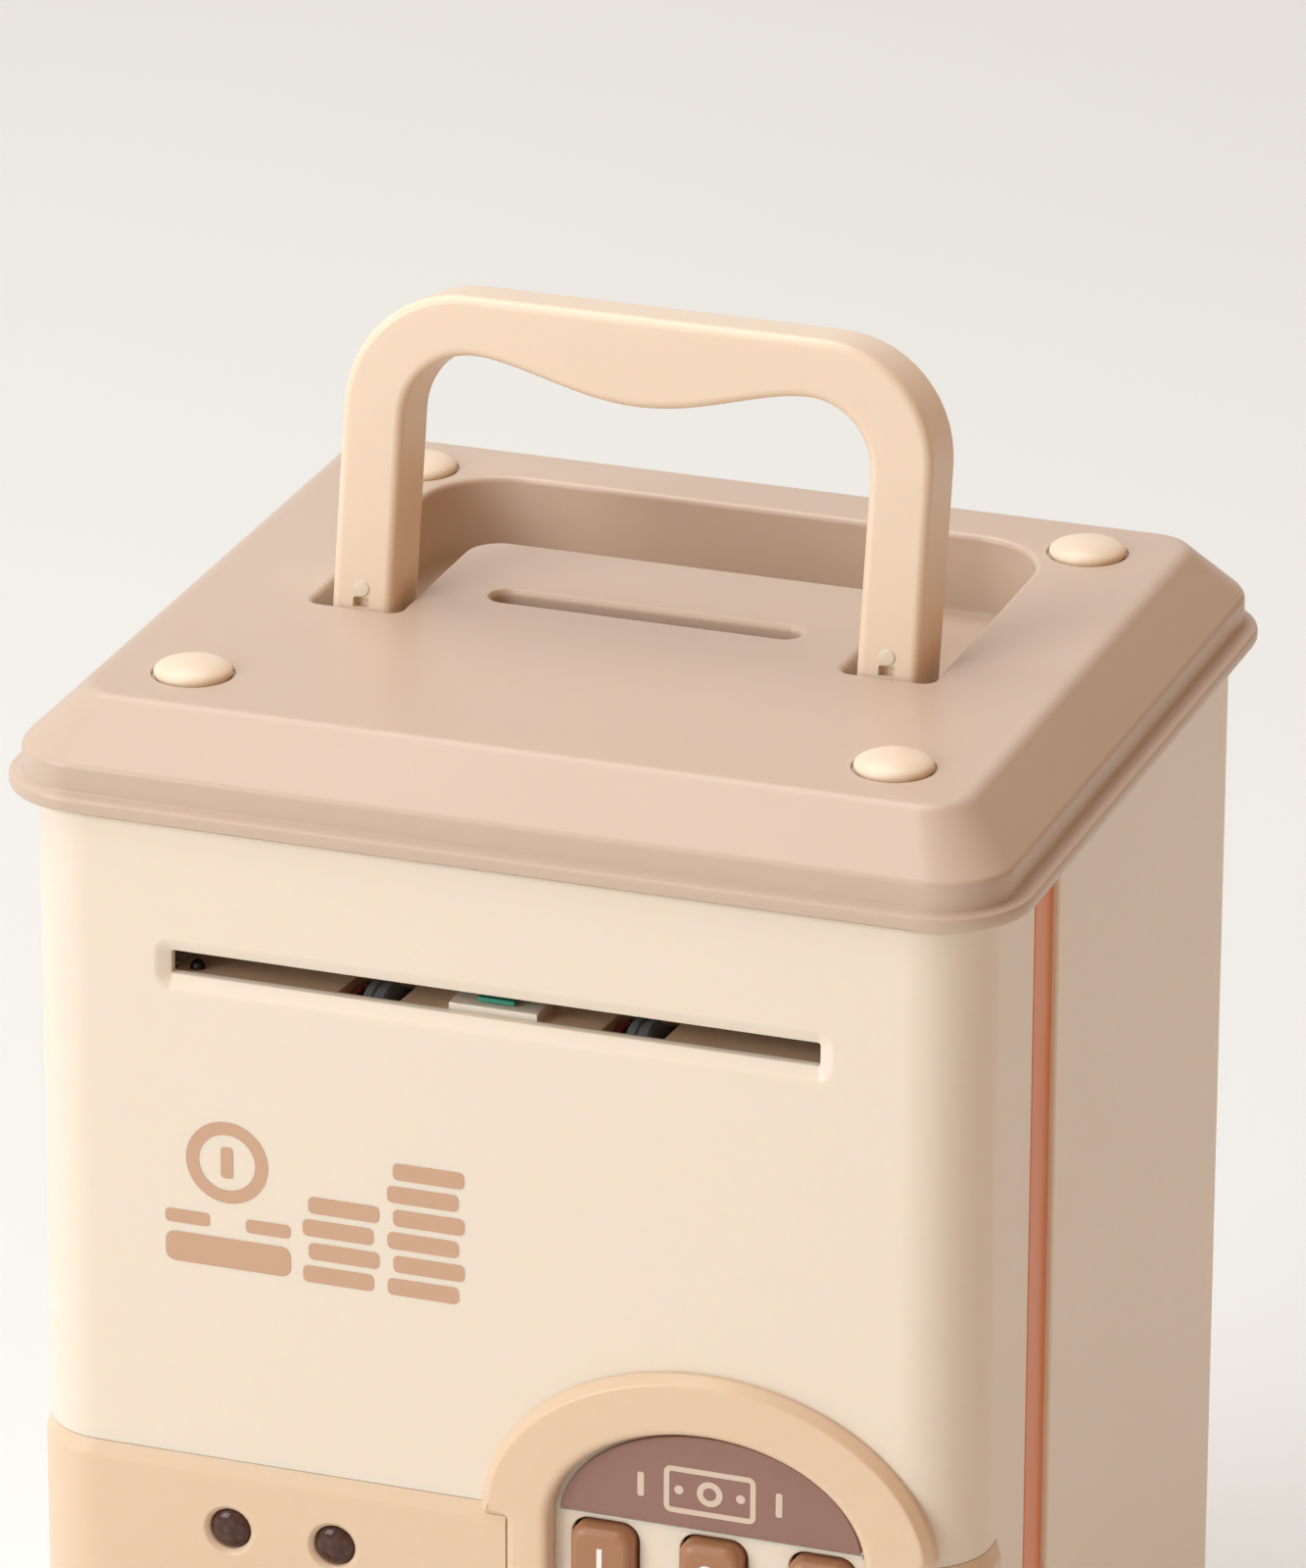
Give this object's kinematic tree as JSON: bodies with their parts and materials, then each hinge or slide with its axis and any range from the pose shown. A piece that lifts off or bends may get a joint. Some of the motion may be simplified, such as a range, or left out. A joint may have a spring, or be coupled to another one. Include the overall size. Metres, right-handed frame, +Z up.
{
  "type": "toy atm savings bank",
  "caption": "Toy cash-machine money box: square case, side-hinged front door with keypad, lock knob and banknote feed, and a coin-slotted lid with a fold-down carry handle.",
  "frame": {"origin": "bottom centre of the whole object, on the surface it stands on", "axes": "+Z up, -Y towards the front with the door, +X to the right of someone facing the front"},
  "size_m": [0.1378, 0.132, 0.2315],
  "materials": {
    "cream_plastic": "moulded ABS, semi-gloss cream",
    "taupe_plastic": "moulded ABS, semi-gloss taupe",
    "peach_plastic": "moulded ABS, semi-gloss peach",
    "handle_plastic": "moulded ABS, semi-gloss pale peach",
    "brown_plastic": "moulded ABS key caps with printed numerals",
    "label_film": "printed polycarbonate film",
    "lens_plastic": "tinted acrylic lens",
    "steel": "plain steel",
    "rubber": "soft rubber",
    "circuit_board": "green circuit board",
    "white_plastic": "moulded plastic, satin off-white",
    "brass": "turned brass",
    "battery_can": "printed sleeve on a steel can"
  },
  "bodies": {
    "case": {"case_shell": "cream_plastic", "base_plate": "cream_plastic", "latch_strike": "steel", "foot_front_left": "rubber", "foot_front_right": "rubber", "foot_rear_left": "rubber", "foot_rear_right": "rubber", "lid": "taupe_plastic", "lid_frame": "taupe_plastic", "lid_cap_front_left": "handle_plastic", "lid_cap_front_right": "handle_plastic", "lid_cap_rear_left": "handle_plastic", "lid_cap_rear_right": "handle_plastic", "handle_pin_left": "steel", "handle_pin_right": "steel", "hinge_pin_bottom": "steel", "hinge_pin_top": "steel"},
    "handle": {"carry_handle": "handle_plastic"},
    "door": {"door_panel": "cream_plastic", "lower_fascia": "peach_plastic", "keypad_bezel": "peach_plastic", "key_deck": "cream_plastic", "label_plate": "label_film", "key_mat": "rubber", "keypad_board": "circuit_board", "lamp_lens_left": "lens_plastic", "lamp_lens_right": "lens_plastic", "lock_solenoid": "steel", "bill_ramp": "peach_plastic", "note_sensor": "circuit_board", "idler_pin": "steel", "feed_motor": "steel", "door_liner": "white_plastic", "battery_1": "battery_can", "battery_2": "battery_can", "battery_3": "battery_can", "battery_cover": "white_plastic"},
    "knob": {"lock_knob": "taupe_plastic", "latch_cam": "steel", "lock_disc": "white_plastic"},
    "plunger": {"lock_plunger": "steel"},
    "feed_rollers": {"roller_shaft": "steel", "drive_gear": "white_plastic", "feed_roller_left": "rubber", "feed_roller_right": "rubber"},
    "idler": {"idler_gear": "white_plastic"},
    "motor_rotor": {"motor_pinion": "brass"},
    "key_1_cap": {"key_1": "brown_plastic"},
    "key_2_cap": {"key_2": "brown_plastic"},
    "key_3_cap": {"key_3": "brown_plastic"},
    "key_4_cap": {"key_4": "brown_plastic"},
    "key_5_cap": {"key_5": "brown_plastic"},
    "key_6_cap": {"key_6": "brown_plastic"},
    "key_7_cap": {"key_7": "brown_plastic"},
    "key_8_cap": {"key_8": "brown_plastic"},
    "key_9_cap": {"key_9": "brown_plastic"},
    "key_star_cap": {"key_star": "brown_plastic"},
    "key_0_cap": {"key_0": "brown_plastic"},
    "key_hash_cap": {"key_hash": "brown_plastic"}
  },
  "joints": [
    {"name": "door_hinge", "type": "hinge", "parent": "case", "child": "door", "pos_m": [0.061, -0.0313, 0.09], "axis": [0, 0, 1], "range_deg": [0, 110]},
    {"name": "handle_fold", "type": "hinge", "parent": "case", "child": "handle", "pos_m": [0, 0.00105, 0.1846], "axis": [-1, 0, 0], "range_deg": [-10, 80]},
    {"name": "knob_turn", "type": "hinge", "parent": "door", "child": "knob", "pos_m": [-0.036, -0.0535, 0.048], "axis": [0, -1, 0], "range_deg": [0, 90]},
    {"name": "plunger_slide", "type": "slide", "parent": "door", "child": "plunger", "axis": [-1, 0, 0], "range_m": [0, 0.003]},
    {"name": "feed_spin", "type": "hinge", "parent": "door", "child": "feed_rollers", "pos_m": [0, -0.044, 0.1494], "axis": [1, 0, 0], "continuous": true},
    {"name": "idler_spin", "type": "hinge", "parent": "door", "child": "idler", "pos_m": [-0.0465, -0.038, 0.13907], "axis": [1, 0, 0], "continuous": true},
    {"name": "motor_spin", "type": "hinge", "parent": "door", "child": "motor_rotor", "pos_m": [-0.0465, -0.041, 0.12895], "axis": [1, 0, 0], "continuous": true},
    {"name": "key_1_press", "type": "slide", "parent": "door", "child": "key_1_cap", "axis": [0, 1, 0], "range_m": [0, 0.0012], "stiffness_N_per_m": 400},
    {"name": "key_2_press", "type": "slide", "parent": "door", "child": "key_2_cap", "axis": [0, 1, 0], "range_m": [0, 0.0012], "stiffness_N_per_m": 400},
    {"name": "key_3_press", "type": "slide", "parent": "door", "child": "key_3_cap", "axis": [0, 1, 0], "range_m": [0, 0.0012], "stiffness_N_per_m": 400},
    {"name": "key_4_press", "type": "slide", "parent": "door", "child": "key_4_cap", "axis": [0, 1, 0], "range_m": [0, 0.0012], "stiffness_N_per_m": 400},
    {"name": "key_5_press", "type": "slide", "parent": "door", "child": "key_5_cap", "axis": [0, 1, 0], "range_m": [0, 0.0012], "stiffness_N_per_m": 400},
    {"name": "key_6_press", "type": "slide", "parent": "door", "child": "key_6_cap", "axis": [0, 1, 0], "range_m": [0, 0.0012], "stiffness_N_per_m": 400},
    {"name": "key_7_press", "type": "slide", "parent": "door", "child": "key_7_cap", "axis": [0, 1, 0], "range_m": [0, 0.0012], "stiffness_N_per_m": 400},
    {"name": "key_8_press", "type": "slide", "parent": "door", "child": "key_8_cap", "axis": [0, 1, 0], "range_m": [0, 0.0012], "stiffness_N_per_m": 400},
    {"name": "key_9_press", "type": "slide", "parent": "door", "child": "key_9_cap", "axis": [0, 1, 0], "range_m": [0, 0.0012], "stiffness_N_per_m": 400},
    {"name": "key_star_press", "type": "slide", "parent": "door", "child": "key_star_cap", "axis": [0, 1, 0], "range_m": [0, 0.0012], "stiffness_N_per_m": 400},
    {"name": "key_0_press", "type": "slide", "parent": "door", "child": "key_0_cap", "axis": [0, 1, 0], "range_m": [0, 0.0012], "stiffness_N_per_m": 400},
    {"name": "key_hash_press", "type": "slide", "parent": "door", "child": "key_hash_cap", "axis": [0, 1, 0], "range_m": [0, 0.0012], "stiffness_N_per_m": 400}
  ],
  "couplings": [
    {"joint": "idler_spin", "follows": "feed_spin", "ratio": -0.7},
    {"joint": "motor_spin", "follows": "feed_spin", "ratio": 1.4}
  ]
}
